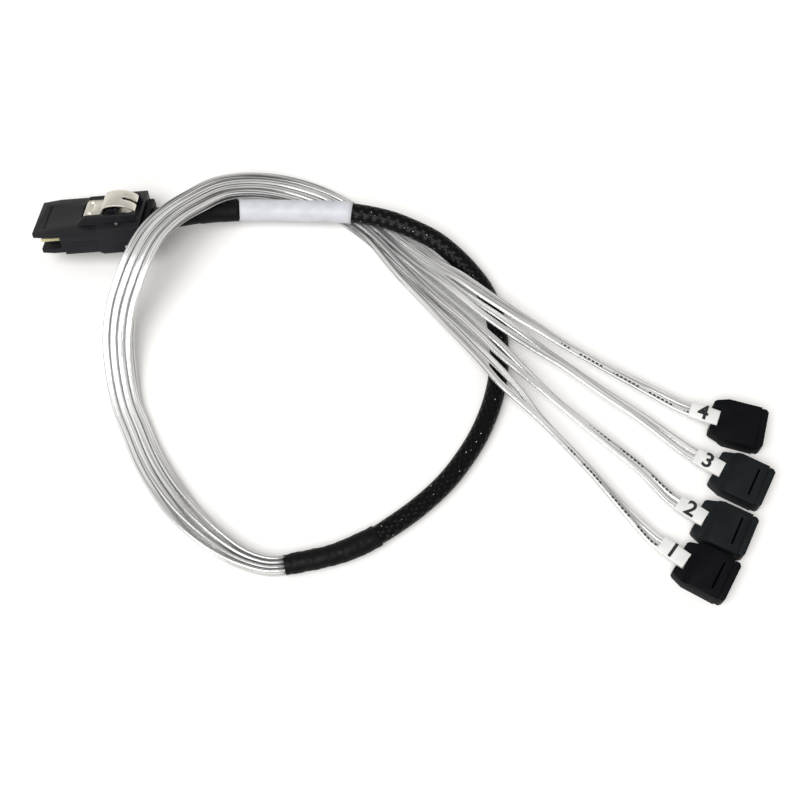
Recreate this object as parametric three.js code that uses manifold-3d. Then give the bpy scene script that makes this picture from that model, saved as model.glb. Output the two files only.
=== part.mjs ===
// Breakout cable: one 36 contact plug with a steel press latch, a braided trunk, and eight flat
// twin lead strips that fan out to four 7 contact drive plugs. Millimetres, +Z up, lying on a bench.
import * as THREE from 'three';
import { mergeVertices } from 'three/addons/utils/BufferGeometryUtils.js';
import Module from 'manifold-3d';

const wasm = await Module();
wasm.setup();

// Clearances between pieces
const GAP = 0.3;
const FINE_GAP = 0.1;
const CUT = 1;

// Host plug, measured from the tip of its nose, along its length (x), across (y) and up (z)
const NOSE_HALF_WIDTH = 11.2;
const NOSE_TIP_HALF_WIDTH = 10.0;
const NOSE_CHAMFER_LENGTH = 6;
const BODY_HALF_WIDTH = 11.9;
const BODY_START = 21.8;
const BODY_END = 36.3;
const NOSE_TOP = 8.7;
const BODY_TOP = 9.3;
const PARTING = 4.7;
const LIP_START = 2.0;
const LIP_END = 9.9;
const LIP_BOTTOM = 1.2;
const NOSE_BOTTOM = 0.4;
const DEEP_START = 22.6;
const CARD_ROOM_HALF_WIDTH = 8.6;
const CARD_ROOM_LOW = 2.9;
const CARD_ROOM_HIGH = 7.0;
const CARD_ROOM_END = 34.3;
const SIDE_SLOT_END = 9;
const GRIP_GROOVE = { x: 3.3, width: 0.6, halfLength: 7.2, depth: 0.4 };

// Card between the shells, with its rows of gold pads
const CARD = { start: 1.8, end: 27, halfWidth: 8.3, low: 4.2, high: 5.2 };
const PAD = { pitch: 0.8, width: 0.5, length: 4.4, join: 0.6, thick: 0.1, inset: 0.6, count: 18 };

// Latch rails, pocket and post on the upper shell
const LATCH_HALF_WIDTH = 5.0;
const POCKET = { start: 15.4, end: 35.4, floor: 8.2, halfWidth: LATCH_HALF_WIDTH + GAP };
const RAIL = { foot: 14.5, crestStart: 17.5, end: 35, thick: 1.6, crest: 11.5 };
const POST = { start: 24.6, end: 27.4, halfWidth: 3.4, top: 11.8 };

// Pressed steel latch: the centre line of its strip, from the front fold to the finger hump
const STEEL = 0.5;
const LATCH_LINE = [
  [16.8, 9.3], [16.9, 10.3], [17.6, 10.9], [22.6, 10.9], [23.2, 11.5], [23.6, 12.8], [24.4, 13.5],
  [26.0, 13.9], [28.2, 14.0], [30.5, 13.7], [32.6, 12.9], [34.0, 11.9], [34.4, 11.2],
];
const LATCH_SLOT = { start: 30.2, halfWidth: 0.9 };
const BARB = { x: 18.0, length: 1.5, halfWidth: 0.5, height: 0.6, side: 3.4 };
const LEAF_LINE = [[17.0, 8.65], [27.0, 8.65], [30.4, 9.5], [33.0, 9.9]];
const LEAF_HALF_WIDTH = 2.6;

// Pins that close the two shells, the block that grips the leads, and the collar behind it
const PIN = { x: 28.4, y: 8.6, radius: 0.6, proud: 0.15, low: 1.0 };
const GRIP_BLOCK = { start: 28.6, end: CARD_ROOM_END - GAP, halfWidth: 7.4 };
const COLLAR = { length: 2.0, halfWidth: 9.4, low: 0.9, high: 8.3, corner: 2.2, taper: 0.8 };

// How the host plug lies: rolled on its long lower edge by the twist of the trunk, rear end raised
const HOST_AT = new THREE.Vector3(-122.25, 58.7, 3.885);
const HOST_ROLL = THREE.MathUtils.degToRad(26.2);
const HOST_TURN = new THREE.Euler(-HOST_ROLL, THREE.MathUtils.degToRad(-4), THREE.MathUtils.degToRad(2.5), 'ZYX');

// Drive plug, measured from its rear face (x), across (y) and up (z)
const DRIVE_LENGTH = 17.4;
const DRIVE_HALF_WIDTH = 7.2;
const DRIVE_HEIGHT = 6.0;
const DRIVE_REAR_HEIGHT = 4.4;
const RAMP = { start: 3.5, end: 5.6 };
const REAR_SIDES = [[4.4, 7.2], [0.7, 5.9], [0, 5.3]];
const OVERMOULD_END = 15.2;
const NOSE_SIDE = { halfWidth: 6.8, corner: 0.8 };
const INSERT = { start: 10.9, halfWidth: 5.9, low: 1.1, high: 4.95, clear: 0.2 };
const FINGER_GROOVE = { fromFront: 5.2, width: 0.6, halfLength: 4.8, depth: 0.35 };
const SOCKET = { depth: 6, halfWidth: 5.3, low: 2.0, high: 3.6, keyWidth: 1.3, keyHigh: 4.6 };
const CONTACT = { count: 7, pitch: 1.27, width: 0.8, thick: 0.25, length: 4.6, bar: 0.5 };
const DRIVE_PLUGS = [
  { name: '4', x: 100.3, y: -8.0, yaw: -16, lead: 4.6, flipped: true },
  { name: '3', x: 100.2, y: -24.8, yaw: -28, lead: 3.4, flipped: false },
  { name: '2', x: 93.1, y: -41.1, yaw: -27, lead: 3.4, flipped: false },
  { name: '1', x: 86.2, y: -54.7, yaw: -30, lead: 3.4, flipped: false },
];

// Flat twin lead strip, the white flag round each pair, and the notch that both enter
const STRIP = { width: 2.2, thick: 1.1, corner: 0.4, step: 5.6 };
const PAIR_PITCH = STRIP.width + 0.25;
const FLAG = { start: -7.2, wall: 0.25, corner: 0.7 };
const FLAG_INSIDE = { width: PAIR_PITCH + STRIP.width + 0.5, height: STRIP.thick + 0.5 };
const NOTCH_DEPTH = 2.6;
const LEAD_END = NOTCH_DEPTH - GAP;

// The strips leave the trunk on edge, four side by side and two high, and then roll flat
const ON_EDGE_PITCH = 1.35;
const FLAT_PITCH = 2.45;
const ON_EDGE_LAYER = 2.6;
const ARC_LAYER = 1.65;
const FLAT_LAYER = 1.35;
const SPREAD = { from: 6, to: 36 };
const ROLL = { from: 14, to: 64 };
const SETTLE = { from: 34, to: 66 };
const CLOSE_UP = { from: 186, to: 212 };

// On the open arc the upper strips wander sideways and tip a little
const UNEVEN = { from: 58, full: 88, fade: 160, to: 184 };
const WANDER = { side: 0.5, wave: 13, lane: 0.25 };
const TIP = { angle: THREE.MathUtils.degToRad(14), wave: 17, lane: 0.8 };

// Trunk: heat shrink tail, white wrap label, braided sleeve and two heat shrink steps
const SLEEVE = { width: 6.9, height: 6.0 };
const TAIL = { length: 29.3, width: 8.2, height: 7.0 };
const LABEL = { length: 38.9, wall: 0.35, clear: 0.15 };
const OUTER_SHRINK = { length: 13.2, width: 7.2, height: 6.4 };
const INNER_SHRINK = { length: 15.4, width: 6.7, height: 6.2 };
const TRUNK_STEP = 6;

// Route of the trunk, from the host plug to where the strips come out
const TRUNK_ROUTE = [
  [-79.4, 62.6, 10.8], [-74.2, 64.0, 10.3], [-68.4, 65.9, 9.3], [-62.5, 67.4, 8.2], [-55.5, 68.4, 7.3],
  [-45.5, 68.7, 6.7], [-35.9, 68.6, 6.4], [-25.9, 68.4, 6.4], [-16.6, 67.9, 6.4], [-4.1, 65.2, 6.2],
  [4.1, 61.9, 5.8], [12.3, 57.6, 5.0], [18.8, 52.1, 4.1], [23.8, 46.5, 3.5], [28.4, 39.4, 3.3],
  [31.5, 30.4, 3.3], [32.8, 18.8, 3.3], [32.2, 7.6, 3.3], [29.9, -2.6, 3.3], [25.4, -13.7, 3.3],
  [19.9, -22.8, 3.3], [14.2, -30.2, 3.3], [6.3, -37.8, 3.3], [-0.8, -43.3, 3.35], [-9.2, -48.8, 3.45],
  [-20.0, -53.6, 3.5], [-34.3, -56.9, 3.5],
];

// Route of the middle of the strips, round the left, over the rear of the host plug and under the label
const BUNDLE_ROUTE = [
  [-35.2, -57.2, 3.5], [-40.0, -57.5, 3.4], [-48.2, -55.2, 3.3], [-56.8, -50.0, 3.2],
  [-66.6, -41.1, 3.0], [-74.2, -31.8, 2.6], [-80.4, -21.9, 2.0], [-85.6, -10.8, 1.7], [-88.8, -3.0, 2.2],
  [-91.0, 7.1, 4.4], [-92.0, 18.0, 8.8], [-91.0, 26.9, 13.6], [-88.6, 33.6, 18.3], [-85.9, 40.7, 21.3],
  [-82.0, 49.9, 21.8], [-76.0, 58.9, 19.6], [-69.6, 66.0, 16.4], [-61.6, 73.7, 12.2], [-52.6, 78.8, 7.0],
  [-42.6, 80.4, 3.0], [-32.0, 78.1, 1.5], [-21.5, 72.8, 1.4], [-10.5, 64.6, 1.4],
];

// Routes past the label, one list for each drive plug: x, y of the lower strip, y of the upper, z
const FAN_ROUTES = [
  [[0, 61.9, 59.7, 0.75], [6.9, 57.2, 53.6, 1.2], [13.6, 49.6, 46.8, 3.8], [20.1, 43.6, 40.5, 7.0],
    [26.7, 38.2, 35.0, 7.3], [33.2, 33.0, 30.2, 7.2], [39.8, 28.2, 25.7, 6.6], [46.3, 23.8, 21.6, 6.1],
    [53.0, 19.0, 17.1, 5.6], [65.7, 11.3, 9.3, 4.9], [78.3, 4.2, 1.5, 4.6]],
  [[0, 58.3, 55.7, 0.75], [6.9, 52.0, 49.0, 1.4], [13.6, 45.4, 42.1, 3.9], [20.1, 38.0, 34.9, 6.3],
    [26.6, 32.0, 28.0, 7.3], [33.1, 27.0, 22.6, 7.3], [39.6, 21.9, 17.9, 6.6], [46.2, 16.6, 13.6, 5.9],
    [52.6, 11.7, 9.7, 5.2], [65.1, 2.3, 0.2, 4.3], [77.4, -6.4, -9.0, 3.7]],
  [[0, 54.3, 50.9, 0.75], [6.9, 47.2, 42.8, 1.3], [13.5, 39.1, 34.5, 3.3], [20.0, 31.5, 27.1, 5.6],
    [26.4, 23.5, 19.4, 7.2], [32.7, 17.1, 12.3, 7.3], [39.0, 10.0, 6.6, 6.8], [45.6, 2.6, 0.7, 6.2],
    [51.8, -3.7, -5.0, 5.5], [64.1, -13.8, -16.1, 4.4], [76.1, -24.0, -27.0, 3.7]],
  [[0, 48.4, 44.6, 0.75], [6.9, 40.6, 36.2, 1.0], [13.4, 32.4, 27.6, 2.6], [19.9, 24.2, 19.1, 4.6],
    [26.2, 15.7, 10.4, 6.7], [32.4, 8.2, 1.9, 7.3], [38.7, 0.6, -4.2, 6.8], [43.4, -6.6, -8.8, 6.3],
    [48.2, -12.7, -13.9, 5.9], [60.2, -26.0, -27.6, 4.8], [70.5, -38.4, -41.0, 4.0]],
];
const FLAT_RUN_IN = [-9.4, -6.4, -2, LEAD_END];

// Colours
const BLACK_PLASTIC = { color: 0x1b1c20, roughness: 0.5, metalness: 0 };
const DARK_PLASTIC = { color: 0x141417, roughness: 0.6, metalness: 0 };
const STEEL_FINISH = { color: 0xd6d4cd, roughness: 0.3, metalness: 1 };
const GOLD_FINISH = { color: 0xd9b25a, roughness: 0.3, metalness: 1 };
const CARD_FINISH = { color: 0xd8d0a0, roughness: 0.6, metalness: 0 };
const GREY_FINISH = { color: 0x6c6a66, roughness: 0.7, metalness: 0 };
const SHRINK_FINISH = { color: 0x17181a, roughness: 0.55, metalness: 0 };
const BRAID_FINISH = { color: 0x101013, roughness: 0.7, metalness: 0 };
const PAPER_FINISH = { color: 0xf2f3f5, roughness: 0.6, metalness: 0 };
const FOIL_FINISH = { color: 0xd5d6d8, roughness: 0.35, metalness: 0.6 };

function piece(name, geometry, finish) {
  const mesh = new THREE.Mesh(geometry, new THREE.MeshStandardMaterial(finish));
  mesh.name = name;
  return mesh;
}

function toSolid(geometry) {
  const bare = geometry.clone();
  bare.deleteAttribute('normal');
  bare.deleteAttribute('uv');
  const merged = mergeVertices(bare, 1e-4);
  return new wasm.Manifold(new wasm.Mesh({
    numProp: 3,
    vertProperties: new Float32Array(merged.attributes.position.array),
    triVerts: new Uint32Array(merged.index.array),
  }));
}

function fromSolid(solid) {
  const mesh = solid.getMesh();
  const geometry = new THREE.BufferGeometry();
  geometry.setAttribute('position', new THREE.BufferAttribute(mesh.vertProperties, 3));
  geometry.setIndex(new THREE.BufferAttribute(mesh.triVerts, 1));
  return geometry;
}

function join(geometries) {
  return geometries.map(toSolid).reduce((all, next) => all.add(next));
}

function cutAway(solid, geometries) {
  return geometries.map(toSolid).reduce((rest, next) => rest.subtract(next), solid);
}

function block(x, y, z) {
  const box = new THREE.BoxGeometry(x[1] - x[0], y[1] - y[0], z[1] - z[0]);
  return box.translate((x[0] + x[1]) / 2, (y[0] + y[1]) / 2, (z[0] + z[1]) / 2);
}

function outline(points) {
  return new THREE.Shape(points.map((point) => new THREE.Vector2(point[0], point[1])));
}

// A plate seen from above, between two heights
function plate(points, low, high) {
  const slab = new THREE.ExtrudeGeometry(outline(points), { depth: high - low, bevelEnabled: false });
  return slab.translate(0, 0, low);
}

// A profile seen from the side (x, z), as wide as twice halfWidth
function sideProfile(points, halfWidth) {
  const depth = 2 * halfWidth;
  const slab = new THREE.ExtrudeGeometry(outline(points), { depth, bevelEnabled: false });
  return slab.rotateX(Math.PI / 2).translate(0, halfWidth, 0);
}

function mirrored(half) {
  const back = half.map((point) => [point[0], -point[1]]).reverse();
  return half.concat(back);
}

// The two sides of a bent strip of sheet metal, from the centre line of its bends
function bentStrip(line, thick) {
  const upper = [];
  const lower = [];
  line.forEach((point, index) => {
    const before = line[Math.max(index - 1, 0)];
    const after = line[Math.min(index + 1, line.length - 1)];
    const run = Math.hypot(after[0] - before[0], after[1] - before[1]);
    const across = [-(after[1] - before[1]) / run, (after[0] - before[0]) / run];
    upper.push([point[0] + across[0] * thick / 2, point[1] + across[1] * thick / 2]);
    lower.unshift([point[0] - across[0] * thick / 2, point[1] - across[1] * thick / 2]);
  });
  return upper.concat(lower);
}

function roundedRectangle(halfX, halfY, corner, sides) {
  const shape = new THREE.Shape();
  const corners = [[1, 1], [-1, 1], [-1, -1], [1, -1]];
  const points = [];
  corners.forEach(([signX, signY], index) => {
    for (let part = 0; part <= sides; part += 1) {
      const angle = (index + part / sides) * Math.PI / 2;
      const x = signX * (halfX - corner) + corner * Math.cos(angle);
      const y = signY * (halfY - corner) + corner * Math.sin(angle);
      points.push(new THREE.Vector2(x, y));
    }
  });
  return shape.setFromPoints(points);
}

function oval(width, height, sides) {
  const points = [];
  for (let part = 0; part < sides; part += 1) {
    const angle = (part + 0.5) * 2 * Math.PI / sides;
    points.push(new THREE.Vector2(width / 2 * Math.cos(angle), height / 2 * Math.sin(angle)));
  }
  return new THREE.Shape(points);
}

function smoothStep(value, from, to) {
  return THREE.MathUtils.smoothstep(value, from, to);
}

// A stretch of a longer route, whose section keeps level with the bench apart from its roll
class Stretch extends THREE.Curve {
  constructor(route, from, to, rollAt = () => 0) {
    super();
    this.route = route;
    this.from = from;
    this.to = to;
    this.rollAt = rollAt;
    this.whole = route.getLength();
  }

  distanceAt(part) {
    return this.from + part * (this.to - this.from);
  }

  getPoint(part, target = new THREE.Vector3()) {
    return this.route.getPointAt(THREE.MathUtils.clamp(this.distanceAt(part) / this.whole, 0, 1), target);
  }

  computeFrenetFrames(segments) {
    const up = new THREE.Vector3(0, 0, 1);
    const frames = { tangents: [], normals: [], binormals: [] };
    for (let index = 0; index <= segments; index += 1) {
      const tangent = this.getTangentAt(index / segments);
      const level = new THREE.Vector3().crossVectors(up, tangent).normalize();
      const roll = this.rollAt(this.distanceAt(index / segments));
      const normal = level.applyAxisAngle(tangent, roll);
      frames.tangents.push(tangent);
      frames.normals.push(normal);
      frames.binormals.push(new THREE.Vector3().crossVectors(tangent, normal));
    }
    return frames;
  }
}

function smoothRoute(points) {
  const route = new THREE.CatmullRomCurve3(points.map((point) => new THREE.Vector3(...point)));
  route.arcLengthDivisions = 800;
  return route;
}

function sweep(section, stretch, step) {
  const steps = Math.max(1, Math.round((stretch.to - stretch.from) / step));
  return new THREE.ExtrudeGeometry(section, { steps, extrudePath: stretch, bevelEnabled: false });
}

// Host plug pieces
function noseOutline(start, end) {
  const slope = (NOSE_HALF_WIDTH - NOSE_TIP_HALF_WIDTH) / NOSE_CHAMFER_LENGTH;
  const startHalf = NOSE_TIP_HALF_WIDTH + slope * start;
  return mirrored([[end, NOSE_HALF_WIDTH], [NOSE_CHAMFER_LENGTH, NOSE_HALF_WIDTH], [start, startHalf]]);
}

function cardRoom(low, high) {
  return block([-CUT, CARD_ROOM_END], [-CARD_ROOM_HALF_WIDTH, CARD_ROOM_HALF_WIDTH], [low, high]);
}

function sideSlots(low, high) {
  return block([-CUT, SIDE_SLOT_END], [-NOSE_HALF_WIDTH - CUT, NOSE_HALF_WIDTH + CUT], [low, high]);
}

function pinAt(side, radius, low, high) {
  const pin = new THREE.CylinderGeometry(radius, radius, high - low, 12);
  return pin.rotateX(Math.PI / 2).translate(PIN.x, side * PIN.y, (low + high) / 2);
}

function pinHoles() {
  return [-1, 1].map((side) => pinAt(side, PIN.radius + GAP, PIN.low - GAP, BODY_TOP + CUT));
}

function railProfile() {
  return [
    [RAIL.foot, NOSE_TOP - CUT], [RAIL.end, NOSE_TOP - CUT], [RAIL.end, RAIL.crest],
    [RAIL.crestStart, RAIL.crest], [RAIL.foot, NOSE_TOP],
  ];
}

function upperShell() {
  const low = PARTING + GAP / 2;
  const rails = [-1, 1].map((side) => {
    const middle = side * (POCKET.halfWidth + RAIL.thick / 2);
    return sideProfile(railProfile(), RAIL.thick / 2).translate(0, middle, 0);
  });
  const body = join([
    plate(noseOutline(0, BODY_START + CUT), low, NOSE_TOP),
    block([BODY_START, BODY_END], [-BODY_HALF_WIDTH, BODY_HALF_WIDTH], [low, BODY_TOP]),
    ...rails,
  ]);
  const pocketWidth = [-POCKET.halfWidth, POCKET.halfWidth];
  const groove = block(
    [GRIP_GROOVE.x, GRIP_GROOVE.x + GRIP_GROOVE.width],
    [-GRIP_GROOVE.halfLength, GRIP_GROOVE.halfLength],
    [NOSE_TOP - GRIP_GROOVE.depth, NOSE_TOP + CUT],
  );
  const opened = cutAway(body, [
    cardRoom(low - CUT, CARD_ROOM_HIGH),
    sideSlots(low - CUT, CARD_ROOM_HIGH),
    block([POCKET.start, POCKET.end], pocketWidth, [POCKET.floor, RAIL.crest + CUT]),
    groove,
    ...pinHoles(),
  ]);
  const post = block([POST.start, POST.end], [-POST.halfWidth, POST.halfWidth], [POCKET.floor - CUT, POST.top]);
  const leafSlot = block(
    [POST.start - CUT, POST.end + CUT],
    [-LEAF_HALF_WIDTH - GAP, LEAF_HALF_WIDTH + GAP],
    [POCKET.floor, LEAF_LINE[0][1] + STEEL / 2 + GAP],
  );
  return fromSolid(cutAway(opened.add(toSolid(post)), [leafSlot]));
}

function lowerShell() {
  const high = PARTING - GAP / 2;
  const body = join([
    plate(noseOutline(LIP_START, BODY_START + CUT), LIP_BOTTOM, high),
    block([LIP_END, BODY_START + CUT], [-NOSE_HALF_WIDTH, NOSE_HALF_WIDTH], [NOSE_BOTTOM, high]),
    block([BODY_START, DEEP_START + CUT], [-BODY_HALF_WIDTH, BODY_HALF_WIDTH], [NOSE_BOTTOM, high]),
    block([DEEP_START, BODY_END], [-BODY_HALF_WIDTH, BODY_HALF_WIDTH], [0, high]),
  ]);
  return fromSolid(cutAway(body, [
    cardRoom(CARD_ROOM_LOW, high + CUT),
    sideSlots(CARD_ROOM_LOW, high + CUT),
    ...pinHoles(),
  ]));
}

function latch() {
  const strip = sideProfile(bentStrip(LATCH_LINE, STEEL), LATCH_HALF_WIDTH);
  const barbs = [-1, 1].map((side) => {
    const wedge = [
      [BARB.x, LATCH_LINE[3][1]], [BARB.x + BARB.length, LATCH_LINE[3][1]],
      [BARB.x + BARB.length, LATCH_LINE[3][1] + STEEL / 2 + BARB.height],
      [BARB.x, LATCH_LINE[3][1] + STEEL / 2],
    ];
    return sideProfile(wedge, BARB.halfWidth).translate(0, side * BARB.side, 0);
  });
  const slot = block(
    [LATCH_SLOT.start, POCKET.end + CUT],
    [-LATCH_SLOT.halfWidth, LATCH_SLOT.halfWidth],
    [POCKET.floor, LATCH_LINE[8][1] + CUT],
  );
  return fromSolid(cutAway(join([strip, ...barbs]), [slot]));
}

// The pads meet in one strip of plating at their inner ends
function padRow(low, high) {
  const halfRow = PAD.pitch * PAD.count / 2;
  const inner = CARD.start + PAD.inset + PAD.length;
  const pads = [block([inner - PAD.join, inner], [-halfRow, halfRow], [low, high])];
  for (let index = 0; index < PAD.count; index += 1) {
    const middle = (index - (PAD.count - 1) / 2) * PAD.pitch;
    const start = CARD.start + PAD.inset;
    pads.push(block([start, start + PAD.length], [middle - PAD.width / 2, middle + PAD.width / 2], [low, high]));
  }
  return fromSolid(join(pads));
}

function collar() {
  const middle = (COLLAR.low + COLLAR.high) / 2;
  const halfHeight = (COLLAR.high - COLLAR.low) / 2;
  const shape = roundedRectangle(COLLAR.halfWidth, halfHeight, COLLAR.corner, 3);
  const slab = new THREE.ExtrudeGeometry(shape, { depth: COLLAR.length, bevelEnabled: false });
  return slab.rotateY(Math.PI / 2).rotateX(Math.PI / 2).translate(BODY_END + GAP, 0, middle);
}

function hostPlug() {
  const cardWidth = [-CARD.halfWidth, CARD.halfWidth];
  const leafShape = bentStrip(LEAF_LINE, STEEL);
  const plug = new THREE.Group();
  plug.add(
    piece('upper_shell', upperShell(), BLACK_PLASTIC),
    piece('lower_shell', lowerShell(), BLACK_PLASTIC),
    piece('latch', latch(), STEEL_FINISH),
    piece('latch_anchor_leaf', sideProfile(leafShape, LEAF_HALF_WIDTH), STEEL_FINISH),
    piece('paddle_card', block([CARD.start, CARD.end], cardWidth, [CARD.low, CARD.high]), CARD_FINISH),
    piece('card_pads_top', padRow(CARD.high + FINE_GAP / 2, CARD.high + FINE_GAP / 2 + PAD.thick), GOLD_FINISH),
    piece('card_pads_bottom', padRow(CARD.low - FINE_GAP / 2 - PAD.thick, CARD.low - FINE_GAP / 2), GOLD_FINISH),
    piece('shell_pin_left', pinAt(1, PIN.radius, PIN.low, BODY_TOP + PIN.proud), STEEL_FINISH),
    piece('shell_pin_right', pinAt(-1, PIN.radius, PIN.low, BODY_TOP + PIN.proud), STEEL_FINISH),
    piece('lead_grip_block', block(
      [GRIP_BLOCK.start, GRIP_BLOCK.end],
      [-GRIP_BLOCK.halfWidth, GRIP_BLOCK.halfWidth],
      [CARD_ROOM_LOW + GAP, CARD_ROOM_HIGH - GAP],
    ), GREY_FINISH),
    piece('plug_collar', collar(), DARK_PLASTIC),
  );
  plug.rotation.copy(HOST_TURN);
  plug.position.copy(HOST_AT);
  return plug;
}

// Drive plug pieces
function aboveRamp() {
  return sideProfile([
    [-CUT, DRIVE_REAR_HEIGHT], [RAMP.start, DRIVE_REAR_HEIGHT], [RAMP.end, DRIVE_HEIGHT],
    [RAMP.end, DRIVE_HEIGHT + CUT], [-CUT, DRIVE_HEIGHT + CUT],
  ], DRIVE_HALF_WIDTH + CUT);
}

function driveOvermould() {
  const flagHalf = FLAG_INSIDE.width / 2 + FLAG.wall + GAP;
  const roomHalf = INSERT.halfWidth + INSERT.clear;
  const grooveStart = DRIVE_LENGTH - FINGER_GROOVE.fromFront;
  const body = toSolid(plate(mirrored([[OVERMOULD_END, DRIVE_HALF_WIDTH], ...REAR_SIDES]), 0, DRIVE_HEIGHT));
  return fromSolid(cutAway(body, [
    aboveRamp(),
    block([-CUT, NOTCH_DEPTH], [-flagHalf, flagHalf], [-CUT, DRIVE_HEIGHT + CUT]),
    block(
      [INSERT.start - INSERT.clear, OVERMOULD_END + CUT],
      [-roomHalf, roomHalf],
      [INSERT.low - INSERT.clear, INSERT.high + INSERT.clear],
    ),
    block(
      [grooveStart, grooveStart + FINGER_GROOVE.width],
      [-FINGER_GROOVE.halfLength, FINGER_GROOVE.halfLength],
      [DRIVE_HEIGHT - FINGER_GROOVE.depth, DRIVE_HEIGHT + CUT],
    ),
  ]));
}

// The nose of the plug, in one piece with the insert that the overmould holds
function driveHousing() {
  const noseStart = OVERMOULD_END + FINE_GAP;
  const socketStart = DRIVE_LENGTH - SOCKET.depth;
  const nose = plate(mirrored([
    [DRIVE_LENGTH, NOSE_SIDE.halfWidth - NOSE_SIDE.corner], [DRIVE_LENGTH - NOSE_SIDE.corner, NOSE_SIDE.halfWidth],
    [noseStart, NOSE_SIDE.halfWidth],
  ]), 0, DRIVE_HEIGHT);
  const insert = block(
    [INSERT.start, noseStart + CUT],
    [-INSERT.halfWidth, INSERT.halfWidth],
    [INSERT.low, INSERT.high],
  );
  return fromSolid(cutAway(join([nose, insert]), [
    block([socketStart, DRIVE_LENGTH + CUT], [-SOCKET.halfWidth, SOCKET.halfWidth], [SOCKET.low, SOCKET.high]),
    block(
      [socketStart, DRIVE_LENGTH + CUT],
      [SOCKET.halfWidth - SOCKET.keyWidth, SOCKET.halfWidth],
      [SOCKET.low, SOCKET.keyHigh],
    ),
  ]));
}

// The blades stand on one bar at the bottom of the socket
function driveContacts() {
  const start = DRIVE_LENGTH - SOCKET.depth + GAP;
  const halfRow = CONTACT.pitch * CONTACT.count / 2;
  const barTop = SOCKET.low + FINE_GAP + CONTACT.bar;
  const blades = [block([start, start + CONTACT.bar], [-halfRow, halfRow], [SOCKET.low + FINE_GAP, barTop])];
  for (let index = 0; index < CONTACT.count; index += 1) {
    const middle = (index - (CONTACT.count - 1) / 2) * CONTACT.pitch;
    const low = SOCKET.low + FINE_GAP;
    const across = [middle - CONTACT.width / 2, middle + CONTACT.width / 2];
    blades.push(block([start, start + CONTACT.length], across, [low, low + CONTACT.thick]));
  }
  return fromSolid(join(blades));
}

function flagSleeve() {
  const halfX = FLAG_INSIDE.width / 2;
  const halfY = FLAG_INSIDE.height / 2;
  const shape = roundedRectangle(halfX + FLAG.wall, halfY + FLAG.wall, FLAG.corner, 2);
  shape.holes.push(roundedRectangle(halfX, halfY, FLAG.corner - FLAG.wall, 2));
  const depth = LEAD_END - FLAG.start;
  const tube = new THREE.ExtrudeGeometry(shape, { depth, bevelEnabled: false });
  return tube.rotateX(Math.PI / 2).rotateZ(Math.PI / 2).translate(FLAG.start, 0, 0);
}

function drivePlug(spot) {
  const shells = new THREE.Group();
  shells.add(
    piece(`drive_overmould_${spot.name}`, driveOvermould(), BLACK_PLASTIC),
    piece(`drive_housing_${spot.name}`, driveHousing(), DARK_PLASTIC),
    piece(`drive_contacts_${spot.name}`, driveContacts(), GOLD_FINISH),
  );
  if (spot.flipped) {
    shells.rotation.x = Math.PI;
    shells.position.z = DRIVE_HEIGHT;
  }
  const flag = piece(`number_flag_${spot.name}`, flagSleeve(), PAPER_FINISH);
  flag.position.z = spot.lead;
  const laid = new THREE.Group();
  laid.add(shells, flag);
  laid.position.set(spot.x, spot.y, 0);
  laid.rotation.z = THREE.MathUtils.degToRad(spot.yaw);
  return laid;
}

// Trunk pieces
function trunkStart() {
  const exit = new THREE.Vector3(BODY_END + COLLAR.length + 2 * GAP, 0, (COLLAR.low + COLLAR.high) / 2);
  return exit.applyEuler(HOST_TURN).add(HOST_AT);
}

function trunk() {
  const route = smoothRoute([trunkStart().toArray(), ...TRUNK_ROUTE]);
  const whole = route.getLength();
  const tailRoll = (distance) => -HOST_ROLL * (1 - smoothStep(distance, 0, TAIL.length));
  const outerStart = whole - INNER_SHRINK.length - GAP - OUTER_SHRINK.length;
  const innerStart = whole - INNER_SHRINK.length;
  const labelStart = TAIL.length + GAP;
  const inside = LABEL.clear * 2;
  const outside = inside + LABEL.wall * 2;
  const labelShape = oval(SLEEVE.width + outside, SLEEVE.height + outside, 12);
  labelShape.holes.push(oval(SLEEVE.width + inside, SLEEVE.height + inside, 12));
  const stretches = [
    ['tail_heat_shrink', oval(TAIL.width, TAIL.height, 12), 0, TAIL.length, SHRINK_FINISH, tailRoll],
    ['wrap_label', labelShape, labelStart, labelStart + LABEL.length, PAPER_FINISH],
    ['braided_sleeve', oval(SLEEVE.width, SLEEVE.height, 12), TAIL.length + GAP, outerStart - GAP, BRAID_FINISH],
    ['end_heat_shrink_outer', oval(OUTER_SHRINK.width, OUTER_SHRINK.height, 12),
      outerStart, outerStart + OUTER_SHRINK.length, SHRINK_FINISH],
    ['end_heat_shrink_inner', oval(INNER_SHRINK.width, INNER_SHRINK.height, 12),
      innerStart, whole, SHRINK_FINISH],
  ];
  const group = new THREE.Group();
  stretches.forEach(([name, shape, from, to, finish, rollAt]) => {
    group.add(piece(name, sweep(shape, new Stretch(route, from, to, rollAt), TRUNK_STEP), finish));
  });
  return group;
}

// Strips: their guide points beside the middle of the bundle, then their own fan routes
function unevenAt(distance) {
  return smoothStep(distance, UNEVEN.from, UNEVEN.full) * (1 - smoothStep(distance, UNEVEN.fade, UNEVEN.to));
}

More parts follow.
